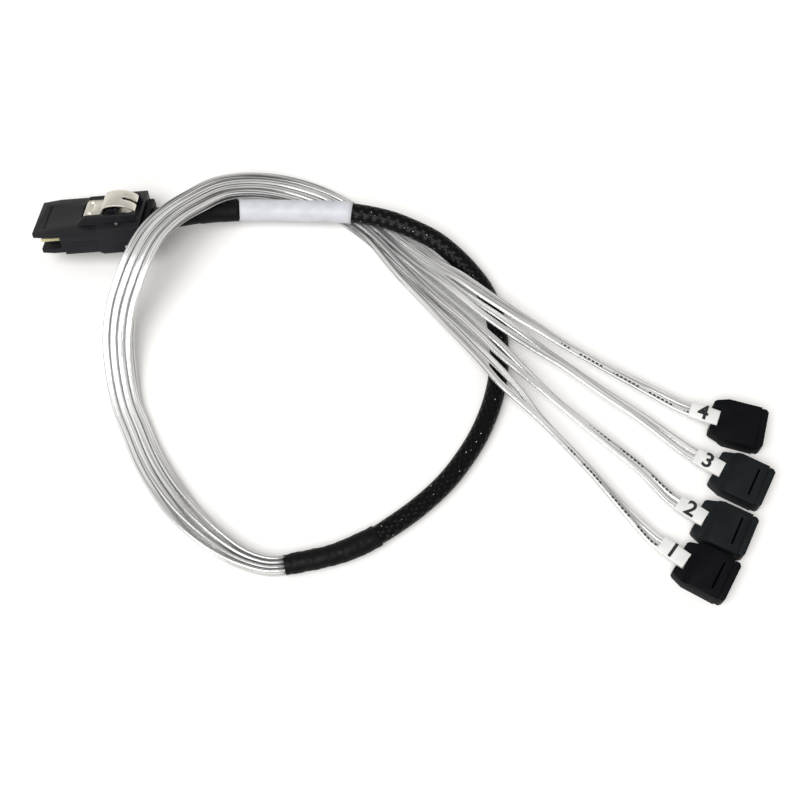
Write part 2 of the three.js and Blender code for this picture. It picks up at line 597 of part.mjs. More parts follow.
function bundlePoints(lane, layer) {
  const guide = smoothRoute(BUNDLE_ROUTE);
  let distance = 0;
  return BUNDLE_ROUTE.map((point, index) => {
    const here = new THREE.Vector3(...point);
    const before = new THREE.Vector3(...BUNDLE_ROUTE[Math.max(index - 1, 0)]);
    distance += here.distanceTo(before);
    const along = guide.getTangent(index / (BUNDLE_ROUTE.length - 1)).setZ(0).normalize();
    const spread = smoothStep(distance, SPREAD.from, SPREAD.to);
    const settle = smoothStep(distance, SETTLE.from, SETTLE.to);
    const flatLayer = THREE.MathUtils.lerp(ARC_LAYER, FLAT_LAYER, smoothStep(distance, CLOSE_UP.from, CLOSE_UP.to));
    const wave = Math.sin(distance / WANDER.wave + lane * WANDER.lane);
    const wander = layer * WANDER.side * unevenAt(distance) * wave;
    const side = (1.5 - lane) * THREE.MathUtils.lerp(ON_EDGE_PITCH, FLAT_PITCH, spread) + wander;
    const rise = (layer - 0.5) * THREE.MathUtils.lerp(ON_EDGE_LAYER, flatLayer, settle);
    return [here.x - along.y * side, here.y + along.x * side, here.z + rise];
  });
}

function fanPoints(lane, layer) {
  return FAN_ROUTES[lane].map(([x, lowerY, upperY, z]) => [x, layer ? upperY : lowerY, z + layer * FLAT_LAYER]);
}

function runInPoints(spot, layer) {
  const yaw = THREE.MathUtils.degToRad(spot.yaw);
  const side = (0.5 - layer) * PAIR_PITCH;
  return FLAT_RUN_IN.map((along) => [
    spot.x + along * Math.cos(yaw) - side * Math.sin(yaw),
    spot.y + along * Math.sin(yaw) + side * Math.cos(yaw),
    spot.lead,
  ]);
}

function strips() {
  const group = new THREE.Group();
  const section = roundedRectangle(STRIP.width / 2, STRIP.thick / 2, STRIP.corner, 1);
  DRIVE_PLUGS.forEach((spot, lane) => {
    ['a', 'b'].forEach((letter, layer) => {
      const points = [...bundlePoints(lane, layer), ...fanPoints(lane, layer), ...runInPoints(spot, layer)];
      const route = smoothRoute(points);
      const tip = layer * TIP.angle;
      const rollAt = (distance) => Math.PI / 2 * (1 - smoothStep(distance, ROLL.from, ROLL.to))
        + tip * unevenAt(distance) * Math.sin(distance / TIP.wave + lane * TIP.lane);
      const stretch = new Stretch(route, 0, route.getLength(), rollAt);
      group.add(piece(`lead_strip_${spot.name}${letter}`, sweep(section, stretch, STRIP.step), FOIL_FINISH));
    });
  });
  return group;
}

const plugs = [hostPlug(), ...DRIVE_PLUGS.map(drivePlug)];
const cable = new THREE.Group();
cable.add(...plugs, trunk(), strips());

// The part's origin lies on the bench, under the middle of the box round the plugs
const plugBox = new THREE.Box3();
plugs.forEach((plug) => plugBox.expandByObject(plug, true));
const middle = plugBox.getCenter(new THREE.Vector3());
cable.position.set(-middle.x, -middle.y, 0);

export default cable;
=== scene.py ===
"""Looks of the breakout cable: moulded plugs, spring steel latch, braid, heat shrink and foil strips."""

import math

import bmesh
import bpy
from mathutils import Matrix, Vector


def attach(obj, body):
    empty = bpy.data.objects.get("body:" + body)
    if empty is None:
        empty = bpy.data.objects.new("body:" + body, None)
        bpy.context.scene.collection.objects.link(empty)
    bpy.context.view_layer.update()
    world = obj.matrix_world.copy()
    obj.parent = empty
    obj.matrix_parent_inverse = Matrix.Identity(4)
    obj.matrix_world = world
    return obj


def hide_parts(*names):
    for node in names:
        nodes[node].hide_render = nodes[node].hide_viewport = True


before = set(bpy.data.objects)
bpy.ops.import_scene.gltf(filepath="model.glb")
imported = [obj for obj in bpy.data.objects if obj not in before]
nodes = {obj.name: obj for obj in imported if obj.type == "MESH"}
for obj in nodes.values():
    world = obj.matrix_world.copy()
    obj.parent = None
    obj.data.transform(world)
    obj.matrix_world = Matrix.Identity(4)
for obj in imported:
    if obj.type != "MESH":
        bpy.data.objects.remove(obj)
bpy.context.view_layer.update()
bpy.ops.object.select_all(action="DESELECT")

# Sizes in millimetres, as in the part's source

MM = 0.001
ORIGIN = Vector((2.1827, -3.0752, 0.0))
BODY = "cable"

HOST_AT = Vector((-122.25, 58.7, 3.885))
HOST_TURN = (
    Matrix.Rotation(math.radians(2.5), 3, "Z")
    @ Matrix.Rotation(math.radians(-4), 3, "Y")
    @ Matrix.Rotation(math.radians(-26.2), 3, "X")
)
COLLAR_BACK = Vector((38.9, 0, 4.6))

DRIVE_PLUGS = {
    "4": {"at": (100.3, -8.0), "yaw": -16, "lead": 4.6, "flag_turn": -5},
    "3": {"at": (100.2, -24.8), "yaw": -28, "lead": 3.4, "flag_turn": -4},
    "2": {"at": (93.1, -41.1), "yaw": -27, "lead": 3.4, "flag_turn": -8},
    "1": {"at": (86.2, -54.7), "yaw": -30, "lead": 3.4, "flag_turn": -8},
}

STRIP_WIDTH = 2.2
STRIP_THICK = 1.1
PAIR_PITCH = 2.45
LEAD_END = 2.3
RUN_IN = (-9.4, -6.4, -2, LEAD_END)
FLAG_TOP = 1.05
FLAG_PIVOT = 1.2

ON_EDGE_PITCH = 1.35
FLAT_PITCH = 2.45
ON_EDGE_LAYER = 2.6
ARC_LAYER = 1.65
FLAT_LAYER = 1.35

TAIL_LENGTH = 29.3
LABEL_LENGTH = 38.9
OUTER_SHRINK_LENGTH = 13.2
INNER_SHRINK_LENGTH = 15.4
JOIN_GAP = 0.3
TUBE_END = (15.2, 16.2)
LABEL_SIZE = (7.85, 6.95)
LABEL_WALL = 0.28
SLEEVE_WIDTH = 6.9
SLEEVE_HEIGHT = 6.0

SHELL_RIM = 4.55
CLOSED_RIM = 4.8
SIDE_PIN_AT = (30.9, -11.9, 2.2)
SIDE_PIN_RADIUS = 0.4
# Place and size of the thin dead black box on each groove floor: painted shade for the groove's depth
GROOVE_SHADE_AT = (12.5, 0, 5.68)
GROOVE_SHADE_SIZE = (0.62, 9.6, 0.12)
DIGIT_ALONG = -2.9
DIGIT_HEIGHT = 7.0

CAMERA_AT = Vector((0, -170.8, 383.7))
CAMERA_TILT = 24

TRUNK_ROUTE = [
    (-79.4, 62.6, 10.8), (-74.2, 64.0, 10.3), (-68.4, 65.9, 9.3), (-62.5, 67.4, 8.2), (-55.5, 68.4, 7.3),
    (-45.5, 68.7, 6.7), (-35.9, 68.6, 6.4), (-25.9, 68.4, 6.4), (-16.6, 67.9, 6.4), (-4.1, 65.2, 6.2),
    (4.1, 61.9, 5.8), (12.3, 57.6, 5.0), (18.8, 52.1, 4.1), (23.8, 46.5, 3.5), (28.4, 39.4, 3.3),
    (31.5, 30.4, 3.3), (32.8, 18.8, 3.3), (32.2, 7.6, 3.3), (29.9, -2.6, 3.3), (25.4, -13.7, 3.3),
    (19.9, -22.8, 3.3), (14.2, -30.2, 3.3), (6.3, -37.8, 3.3), (-0.8, -43.3, 3.35), (-9.2, -48.8, 3.45),
    (-20.0, -53.6, 3.5), (-34.3, -56.9, 3.5),
]

BUNDLE_ROUTE = [
    (-35.2, -57.2, 3.5), (-40.0, -57.5, 3.4), (-48.2, -55.2, 3.3), (-56.8, -50.0, 3.2),
    (-66.6, -41.1, 3.0), (-74.2, -31.8, 2.6), (-80.4, -21.9, 2.0), (-85.6, -10.8, 1.7), (-88.8, -3.0, 2.2),
    (-91.0, 7.1, 4.4), (-92.0, 18.0, 8.8), (-91.0, 26.9, 13.6), (-88.6, 33.6, 18.3), (-85.9, 40.7, 21.3),
    (-82.0, 49.9, 21.8), (-76.0, 58.9, 19.6), (-69.6, 66.0, 16.4), (-61.6, 73.7, 12.2), (-52.6, 78.8, 7.0),
    (-42.6, 80.4, 3.0), (-32.0, 78.1, 1.5), (-21.5, 72.8, 1.4), (-10.5, 64.6, 1.4),
]

# One list for each drive plug: x, y of the lower strip, y of the upper strip, z of the lower strip
FAN_ROUTES = [
    [(0, 61.9, 59.7, 0.75), (6.9, 57.2, 53.6, 1.2), (13.6, 49.6, 46.8, 3.8), (20.1, 43.6, 40.5, 7.0),
     (26.7, 38.2, 35.0, 7.3), (33.2, 33.0, 30.2, 7.2), (39.8, 28.2, 25.7, 6.6), (46.3, 23.8, 21.6, 6.1),
     (53.0, 19.0, 17.1, 5.6), (65.7, 11.3, 9.3, 4.9), (78.3, 4.2, 1.5, 4.6)],
    [(0, 58.3, 55.7, 0.75), (6.9, 52.0, 49.0, 1.4), (13.6, 45.4, 42.1, 3.9), (20.1, 38.0, 34.9, 6.3),
     (26.6, 32.0, 28.0, 7.3), (33.1, 27.0, 22.6, 7.3), (39.6, 21.9, 17.9, 6.6), (46.2, 16.6, 13.6, 5.9),
     (52.6, 11.7, 9.7, 5.2), (65.1, 2.3, 0.2, 4.3), (77.4, -6.4, -9.0, 3.7)],
    [(0, 54.3, 50.9, 0.75), (6.9, 47.2, 42.8, 1.3), (13.5, 39.1, 34.5, 3.3), (20.0, 31.5, 27.1, 5.6),
     (26.4, 23.5, 19.4, 7.2), (32.7, 17.1, 12.3, 7.3), (39.0, 10.0, 6.6, 6.8), (45.6, 2.6, 0.7, 6.2),
     (51.8, -3.7, -5.0, 5.5), (64.1, -13.8, -16.1, 4.4), (76.1, -24.0, -27.0, 3.7)],
    [(0, 48.4, 44.6, 0.75), (6.9, 40.6, 36.2, 1.0), (13.4, 32.4, 27.6, 2.6), (19.9, 24.2, 19.1, 4.6),
     (26.2, 15.7, 10.4, 6.7), (32.4, 8.2, 1.9, 7.3), (38.7, 0.6, -4.2, 6.8), (43.4, -6.6, -8.8, 6.3),
     (48.2, -12.7, -13.9, 5.9), (60.2, -26.0, -27.6, 4.8), (70.5, -38.4, -41.0, 4.0)],
]


# Camera, at the photograph's angle

bpy.ops.object.camera_add(location=(CAMERA_AT + ORIGIN) * MM, rotation=(math.radians(CAMERA_TILT), 0, 0))
camera = bpy.context.object
camera.name = "photo_camera"
camera.data.lens = 57.6
camera.data.sensor_width = 36
camera.data.clip_start = 0.01
bpy.context.scene.camera = camera


# Routes: the same smooth curve through the points as in the part's source

def smooth_step(value, low, high):
    part = min(max((value - low) / (high - low), 0.0), 1.0)
    return part * part * (3 - 2 * part)


def blend(a, b, part):
    return a + (b - a) * part


class Route:
    """A centripetal curve through points in millimetres, measured by its own length."""

    def __init__(self, points, samples=12):
        self.points = [Vector(point) for point in points]
        self.line = [self.at_index(i / samples) for i in range(samples * (len(points) - 1) + 1)]
        self.distances = [0.0]
        for before, after in zip(self.line, self.line[1:]):
            self.distances.append(self.distances[-1] + (after - before).length)
        self.length = self.distances[-1]

    def at_index(self, index):
        last = len(self.points) - 1
        start = min(int(index), last - 1)
        part = index - start
        p1, p2 = self.points[start], self.points[start + 1]
        p0 = self.points[start - 1] if start > 0 else p1 * 2 - p2
        p3 = self.points[start + 2] if start + 2 <= last else p2 * 2 - p1
        t0, t1, t2 = (math.sqrt((b - a).length) for a, b in ((p0, p1), (p1, p2), (p2, p3)))
        leave = ((p1 - p0) / t0 - (p2 - p0) / (t0 + t1) + (p2 - p1) / t1) * t1
        arrive = ((p2 - p1) / t1 - (p3 - p1) / (t1 + t2) + (p3 - p2) / t2) * t1
        bend = (p1 - p2) * 2 + leave + arrive
        swell = (p2 - p1) * 3 - leave * 2 - arrive
        return ((bend * part + swell) * part + leave) * part + p1

    def at(self, distance):
        if distance < 0:
            return self.line[0] + (self.line[1] - self.line[0]).normalized() * distance
        if distance > self.length:
            return self.line[-1] + (self.line[-1] - self.line[-2]).normalized() * (distance - self.length)
        low, high = 0, len(self.distances) - 1
        while high - low > 1:
            middle = (low + high) // 2
            if self.distances[middle] <= distance:
                low = middle
            else:
                high = middle
        part = (distance - self.distances[low]) / (self.distances[high] - self.distances[low])
        return self.line[low].lerp(self.line[high], part)

    def direction(self, distance):
        return (self.at(distance + 0.5) - self.at(distance - 0.5)).normalized()


def tube(name, route, start, stop, section_at, step, roll_at=None, capped=True):
    """A tube along a route. section_at(distance) gives the (across, up) points of its outline."""
    count = max(2, round((stop - start) / step))
    rings, centres, heights = [], [], []
    for index in range(count + 1):
        distance = start + (stop - start) * index / count
        ahead = route.direction(distance)
        across = Vector((0, 0, 1)).cross(ahead).normalized()
        if roll_at:
            across = Matrix.Rotation(roll_at(distance), 3, ahead) @ across
        up = ahead.cross(across)
        centre = route.at(distance) + ORIGIN
        rings.append([centre + across * x + up * y for x, y in section_at(distance)])
        centres.append(centre * MM)
        heights.append(distance)
    sides = len(rings[0])
    mesh = bpy.data.meshes.new(name)
    form = bmesh.new()
    layer = form.loops.layers.uv.new("lay")
    grid = [[form.verts.new(point * MM) for point in ring] for ring in rings]
    girth = [0.0]
    for side in range(sides):
        girth.append(girth[-1] + (rings[0][(side + 1) % sides] - rings[0][side]).length)
    for index in range(count):
        for side in range(sides):
            other = (side + 1) % sides
            near, far = grid[index], grid[index + 1]
            face = form.faces.new((near[side], near[other], far[other], far[side]))
            corners = ((side, index), (side + 1, index), (side + 1, index + 1), (side, index + 1))
            for loop, (around, along) in zip(face.loops, corners):
                loop[layer].uv = (girth[around], heights[along])
            face.smooth = True
    if capped:
        form.faces.new(list(reversed(grid[0])))
        form.faces.new(grid[-1])
    bmesh.ops.recalc_face_normals(form, faces=form.faces)
    form.to_mesh(mesh)
    form.free()
    piece = bpy.data.objects.new(name, mesh)
    bpy.context.collection.objects.link(piece)
    return piece, centres


def oval(width, height, sides=40):
    turns = [2 * math.pi * (side + 0.5) / sides for side in range(sides)]
    return [(width / 2 * math.cos(turn), height / 2 * math.sin(turn)) for turn in turns]


def twin_lead(width, thick):
    """Two round cores side by side under one jacket, with a shallow valley between them."""
    points = []
    for side in range(20):
        turn = 2 * math.pi * (side + 0.5) / 20
        across = math.copysign(abs(math.cos(turn)) ** 0.55, math.cos(turn)) * width / 2
        up = math.copysign(abs(math.sin(turn)) ** 0.75, math.sin(turn)) * thick / 2
        valley = 1 - 0.2 * math.exp(-((across / (0.16 * width)) ** 2))
        points.append((across, up * valley))
    return points


# Cords: eight foil strips, and the braided trunk with what is shrunk or wrapped round it

trunk_start = HOST_TURN @ COLLAR_BACK + HOST_AT
trunk = Route([tuple(trunk_start), *TRUNK_ROUTE])
outer_start = trunk.length - INNER_SHRINK_LENGTH - JOIN_GAP - OUTER_SHRINK_LENGTH
inner_start = trunk.length - INNER_SHRINK_LENGTH
label_start = TAIL_LENGTH + JOIN_GAP
label_end = label_start + LABEL_LENGTH


def uneven_at(distance):
    return smooth_step(distance, 58, 88) * (1 - smooth_step(distance, 160, 184))


def bundle_points(lane, layer):
    guide = Route(BUNDLE_ROUTE)
    points, distance = [], 0.0
    for index, point in enumerate(BUNDLE_ROUTE):
        here = Vector(point)
        distance += (here - Vector(BUNDLE_ROUTE[max(index - 1, 0)])).length
        ahead = guide.at_index(min(index + 0.01, len(BUNDLE_ROUTE) - 1))
        along = ahead - guide.at_index(max(index - 0.01, 0))
        along.z = 0
        along.normalize()
        flat_layer = blend(ARC_LAYER, FLAT_LAYER, smooth_step(distance, 186, 212))
        wander = layer * 0.5 * uneven_at(distance) * math.sin(distance / 13 + lane * 0.25)
        side = (1.5 - lane) * blend(ON_EDGE_PITCH, FLAT_PITCH, smooth_step(distance, 6, 36)) + wander
        rise = (layer - 0.5) * blend(ON_EDGE_LAYER, flat_layer, smooth_step(distance, 34, 66))
        points.append((here.x - along.y * side, here.y + along.x * side, here.z + rise))
    return points


def strip_route(lane, layer):
    spot = list(DRIVE_PLUGS.values())[lane]
    yaw = math.radians(spot["yaw"])
    flag_yaw = yaw + math.radians(spot["flag_turn"])
    side = (0.5 - layer) * PAIR_PITCH
    fan = [(x, (lower, upper)[layer], z + layer * FLAT_LAYER) for x, lower, upper, z in FAN_ROUTES[lane]]
    pivot = Vector((*spot["at"], spot["lead"])) + Vector((math.cos(yaw), math.sin(yaw), 0)) * FLAG_PIVOT
    ahead = Vector((math.cos(flag_yaw), math.sin(flag_yaw), 0))
    aside = Vector((-ahead.y, ahead.x, 0))
    run_in = [tuple(pivot + ahead * (along - FLAG_PIVOT) + aside * side) for along in RUN_IN]
    return Route(bundle_points(lane, layer) + fan + run_in)


def strip_roll(distance, lane, layer):
    tip = layer * math.radians(14) * uneven_at(distance) * math.sin(distance / 17 + lane * 0.8)
    return math.pi / 2 * (1 - smooth_step(distance, 14, 64)) + tip


strips = {}
for lane, number in enumerate(DRIVE_PLUGS):
    for layer, letter in enumerate("ab"):
        route = strip_route(lane, layer)
        strip, centres = tube(
            f"foil_strip_{number}{letter}", route, 0, route.length,
            lambda distance: twin_lead(STRIP_WIDTH, STRIP_THICK), 2.4,
            lambda distance: strip_roll(distance, lane, layer),
        )
        strips[number + letter] = (strip, centres, route.length)


def sleeve_section(distance):
    """The braid narrows where heat shrink grips it."""
    grip = smooth_step(distance, outer_start - 6, outer_start + 2)
    pinch = smooth_step(distance, inner_start - 3, inner_start + 2)
    slim = smooth_step(distance, label_end, label_end + 60)
    width = SLEEVE_WIDTH - 0.5 * slim - 0.3 * grip - 0.5 * pinch
    height = SLEEVE_HEIGHT - 0.2 * slim - 0.2 * grip - 0.3 * pinch
    return oval(width, height)


sleeve, sleeve_centres = tube("braid_tube", trunk, 0.4, trunk.length - 0.4, sleeve_section, 1.2)


def tail_roll(distance):
    return -math.radians(26.2) * (1 - smooth_step(distance, 0, TAIL_LENGTH))


def tail_section(distance):
    """Heat shrink over the fanned leads: wide at the plug, with soft creases and the end of a second tube."""
    outer = smooth_step(distance, *TUBE_END)
    fanned = 1 - smooth_step(distance, 3, 15)
    crease = 0.14 * math.sin(distance * 0.55) + 0.1 * math.sin(distance * 1.3 + 1)
    outline = oval(7.3 + 0.7 * outer + 2.7 * fanned + crease, 6.3 + 0.5 * outer - crease * 0.6)
    return [(across + 0.9 * fanned, up) for across, up in outline]


tail, _ = tube("tail_shrink_skin", trunk, 0, TAIL_LENGTH, tail_section, 0.8, tail_roll)


def outer_shrink_section(distance):
    lip = 1 - 0.045 * smooth_step(distance, outer_start + 10, outer_start + 13.2)
    crease = 0.12 * math.sin(distance * 0.9) + 0.09 * math.sin(distance * 2.3)
    return oval((7.1 + crease) * lip, (6.3 - crease) * lip)


def inner_shrink_section(distance):
    lip = 1 - 0.03 * smooth_step(distance, trunk.length - 3, trunk.length)
    crease = 0.15 * math.sin(distance * 1.1) + 0.1 * math.sin(distance * 2.7 + 1)
    return oval((6.6 + crease) * lip, (6.1 - crease) * lip)


outer_shrink, _ = tube(
    "outer_shrink_skin", trunk, outer_start, outer_start + OUTER_SHRINK_LENGTH, outer_shrink_section, 0.8
)
inner_shrink, _ = tube(
    "inner_shrink_skin", trunk, inner_start - 3, trunk.length + 1.2, inner_shrink_section, 0.6
)
label, _ = tube(
    "label_wrap", trunk, label_start, label_end, lambda distance: oval(*LABEL_SIZE), 1.5, capped=False
)


# Modelling helpers

def select_only(piece):
    bpy.ops.object.select_all(action="DESELECT")
    piece.select_set(True)
    bpy.context.view_layer.objects.active = piece


def apply_modifiers(piece):
    select_only(piece)
    for modifier in list(piece.modifiers):
        bpy.ops.object.modifier_apply(modifier=modifier.name)


def soften(piece, width, segments=3, angle=30):
    """Rounds the edges that a mould or a press leaves, and shades the faces between them flat."""
    edge = piece.modifiers.new("moulded_edge", "BEVEL")
    edge.width = width * MM
    edge.segments = segments
    edge.limit_method = "ANGLE"
    edge.angle_limit = math.radians(angle)
    edge.use_clamp_overlap = True
    apply_modifiers(piece)
    bpy.ops.object.shade_smooth_by_angle(angle=math.radians(35))


def dressed(node, name, edge, segments=3, reshape=None):
    """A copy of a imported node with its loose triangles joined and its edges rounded."""
    piece = bpy.data.objects.new(name, nodes[node].data.copy())
    piece.data.materials.clear()
    bpy.context.collection.objects.link(piece)
    select_only(piece)
    bpy.ops.object.mode_set(mode="EDIT")
    bpy.ops.mesh.select_all(action="SELECT")
    bpy.ops.mesh.remove_doubles(threshold=2e-6)
    bpy.ops.mesh.dissolve_limited(angle_limit=math.radians(1))
    bpy.ops.object.mode_set(mode="OBJECT")
    if reshape:
        reshape(piece.data)
    soften(piece, edge, segments)
    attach(piece, "latch" if node == "latch" else BODY)
    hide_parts(node)
    return piece


def place(piece, matrix):
    """Moves a finished piece by its mesh, so that its object stays at the origin, unturned."""
    piece.data.transform(matrix)
    piece.matrix_world = Matrix.Identity(4)


def host_matrix(point):
    turn = HOST_TURN.to_4x4()
    spot = (HOST_TURN @ Vector(point) + HOST_AT + ORIGIN) * MM
    return Matrix.Translation(spot) @ turn


def close_parting(mesh):
    """Raises the rim of the lower shell until the two shells meet in a hairline."""
    to_world = host_matrix((0, 0, 0))
    to_plug = to_world.inverted()
    for vertex in mesh.vertices:
        spot = to_plug @ vertex.co
        if abs(spot.z / MM - SHELL_RIM) < 0.02:
            spot.z = CLOSED_RIM * MM
            vertex.co = to_world @ spot


def turned_flag(number, mesh):
    """Turns a flag about its place in the notch, where the strips pull it to one side."""
    pivot = drive_matrix(number, (FLAG_PIVOT, 0, 0)).translation
    turn = Matrix.Rotation(math.radians(DRIVE_PLUGS[number]["flag_turn"]), 4, "Z")
    mesh.transform(Matrix.Translation(pivot) @ turn @ Matrix.Translation(-pivot))


def drive_matrix(number, point):
    spot = DRIVE_PLUGS[number]
    turn = Matrix.Rotation(math.radians(spot["yaw"]), 3, "Z")
    centre = turn @ Vector(point) + Vector((*spot["at"], 0)) + ORIGIN
    return Matrix.Translation(centre * MM) @ turn.to_4x4()


# Materials

def colour(text):
    parts = [int(text[i:i + 2], 16) / 255 for i in (1, 3, 5)]
    return (*(c / 12.92 if c <= 0.04045 else ((c + 0.055) / 1.055) ** 2.4 for c in parts), 1.0)


def feed(tree, node, links):
    """Links other nodes' outputs into a node's inputs."""
    for key, output in links.items():
        tree.links.new(output, node.inputs[key])


def add(tree, kind, settings=None, links=None, stops=None, **attributes):
    """Adds a node with its attributes, inputs, links and, on a ramp, its (place, hex colour) stops."""
    new = tree.nodes.new(kind)
    for key, value in attributes.items():
        setattr(new, key, value)
    for key, value in (settings or {}).items():
        new.inputs[key].default_value = value
    feed(tree, new, links or {})
    if stops:
        elements = new.color_ramp.elements
        while len(elements) < len(stops):
            elements.new(0.5)
        for element, (spot, text) in zip(elements, stops):
            element.position = spot
            element.color = colour(text)
    return new


def material(name, **sockets):
    made = bpy.data.materials.new(name)
    made.use_nodes = True
    shader = made.node_tree.nodes["Principled BSDF"]
    for key, value in sockets.items():
        shader.inputs[key.replace("_", " ")].default_value = value
    return made, made.node_tree, shader


def moulded_plastic(name, dark, light, roughness, gloss):
    """Glass filled polyester, moulded in a finely spark eroded tool: black with a grey bloom, almost
    matt, with faint flow marks. The grain is 0.15 mm on the real one, and is drawn at 0.3 mm to show."""
    made, tree, shader = material(name, Roughness=roughness, IOR=1.46, Specular_IOR_Level=gloss)
    where = add(tree, "ShaderNodeTexCoord").outputs["Object"]
    flow = add(
        tree, "ShaderNodeTexNoise", {"Scale": 1 / (6 * MM), "Detail": 3.0}, {"Vector": where}
    ).outputs["Fac"]
    tint = add(tree, "ShaderNodeValToRGB", links={"Fac": flow}, stops=[(0.3, dark), (0.7, light)])
    grain = add(
        tree, "ShaderNodeTexNoise", {"Scale": 1 / (0.3 * MM), "Detail": 2.0}, {"Vector": where}
    ).outputs["Fac"]
    relief = add(tree, "ShaderNodeBump", {"Strength": 0.25, "Distance": 0.03 * MM}, {"Height": grain})
    feed(tree, shader, {"Base Color": tint.outputs["Color"], "Normal": relief.outputs["Normal"]})
    return made


def spring_steel():
    """Stainless spring strip, rolled bright and then tumbled: pale and warm, with fine draw lines
    along the strip and soft broad highlights."""
    made, tree, shader = material("stainless_spring_strip", Metallic=1.0, Roughness=0.3)
    where = add(tree, "ShaderNodeTexCoord").outputs["Object"]
    lines = add(tree, "ShaderNodeMapping", {"Scale": (250, 5200, 2600)}, {"Vector": where}).outputs["Vector"]
    drawn = add(tree, "ShaderNodeTexNoise", {"Scale": 1.0, "Detail": 3.0}, {"Vector": lines}).outputs["Fac"]
    tint = add(tree, "ShaderNodeValToRGB", links={"Fac": drawn}, stops=[(0.3, "#e6e3d7"), (0.7, "#fcf9f0")])
    rough = add(tree, "ShaderNodeMapRange", {"To Min": 0.28, "To Max": 0.46}, {"Value": drawn})
    relief = add(tree, "ShaderNodeBump", {"Strength": 0.2, "Distance": 0.02 * MM}, {"Height": drawn})
    feed(tree, shader, {
        "Base Color": tint.outputs["Color"], "Roughness": rough.outputs["Result"],
        "Normal": relief.outputs["Normal"],
    })
    return made


def gold_plate():
    """Hard gold on copper: thin, soft yellow, with tiny wipe marks."""
    made, tree, shader = material("hard_gold_plate", Metallic=1.0, Roughness=0.28)
    where = add(tree, "ShaderNodeTexCoord").outputs["Object"]
    wear = add(
        tree, "ShaderNodeTexNoise", {"Scale": 1 / (0.8 * MM), "Detail": 3.0}, {"Vector": where}
    ).outputs["Fac"]
    tint = add(tree, "ShaderNodeValToRGB", links={"Fac": wear}, stops=[(0.35, "#c99b43"), (0.65, "#ecc878")])
    relief = add(tree, "ShaderNodeBump", {"Strength": 0.1, "Distance": 0.01 * MM}, {"Height": wear})
    feed(tree, shader, {"Base Color": tint.outputs["Color"], "Normal": relief.outputs["Normal"]})
    return made


def laminate():
    """Glass epoxy card with a pale resist: cream yellow, glossy, the weave just showing."""
    made, tree, shader = material("glass_epoxy_laminate", Roughness=0.35, IOR=1.52)
    where = add(tree, "ShaderNodeTexCoord").outputs["Object"]
    weave = add(
        tree, "ShaderNodeTexVoronoi", {"Scale": 1 / (0.6 * MM)}, {"Vector": where}
    ).outputs["Distance"]
    tint = add(tree, "ShaderNodeValToRGB", links={"Fac": weave}, stops=[(0.0, "#e8e0b4"), (1.0, "#c9c08c")])
    relief = add(tree, "ShaderNodeBump", {"Strength": 0.1, "Distance": 0.02 * MM}, {"Height": weave})
    feed(tree, shader, {"Base Color": tint.outputs["Color"], "Normal": relief.outputs["Normal"]})
    return made


def potting():
    """Hot melt that holds the leads: grey, waxy, with soft ripples, and the colour darker in their troughs,
    as painted shade.
    """
    made, tree, shader = material("grey_hot_melt", Roughness=0.5, IOR=1.48)
    where = add(tree, "ShaderNodeTexCoord").outputs["Object"]
    ripple = add(
        tree, "ShaderNodeTexNoise", {"Scale": 1 / (1.5 * MM), "Detail": 2.0}, {"Vector": where}
    ).outputs["Fac"]
    tint = add(tree, "ShaderNodeValToRGB", links={"Fac": ripple}, stops=[(0.3, "#5d5b58"), (0.7, "#7d7a76")])
    relief = add(tree, "ShaderNodeBump", {"Strength": 0.4, "Distance": 0.1 * MM}, {"Height": ripple})
    feed(tree, shader, {"Base Color": tint.outputs["Color"], "Normal": relief.outputs["Normal"]})
    return made


def heat_shrink():
    """Polyolefin tube shrunk with a hot gun: black, satin, with shallow dimples where the braid and leads
    press from inside, and the colour a shade darker in them, as painted shade."""
    made, tree, shader = material("shrunk_polyolefin", Roughness=0.42, IOR=1.5, Specular_IOR_Level=0.12)
    where = add(tree, "ShaderNodeTexCoord").outputs["Object"]
    dimple = add(
        tree, "ShaderNodeTexNoise", {"Scale": 1 / (2.2 * MM), "Detail": 3.0, "Roughness": 0.6},
        {"Vector": where},
    ).outputs["Fac"]
    tint = add(tree, "ShaderNodeValToRGB", links={"Fac": dimple}, stops=[(0.3, "#070809"), (0.75, "#121315")])
    rough = add(tree, "ShaderNodeMapRange", {"To Min": 0.34, "To Max": 0.58}, {"Value": dimple})
    relief = add(tree, "ShaderNodeBump", {"Strength": 0.7, "Distance": 0.35 * MM}, {"Height": dimple})
    feed(tree, shader, {
        "Base Color": tint.outputs["Color"], "Roughness": rough.outputs["Result"],
        "Normal": relief.outputs["Normal"],
    })
    return made


# Ten bands of each hand go round the braid's girth, and each leans by one band in 3.2 mm
BRAID_GIRTH = 20.3
BRAID_BANDS = 10
BRAID_LEAN = 3.2


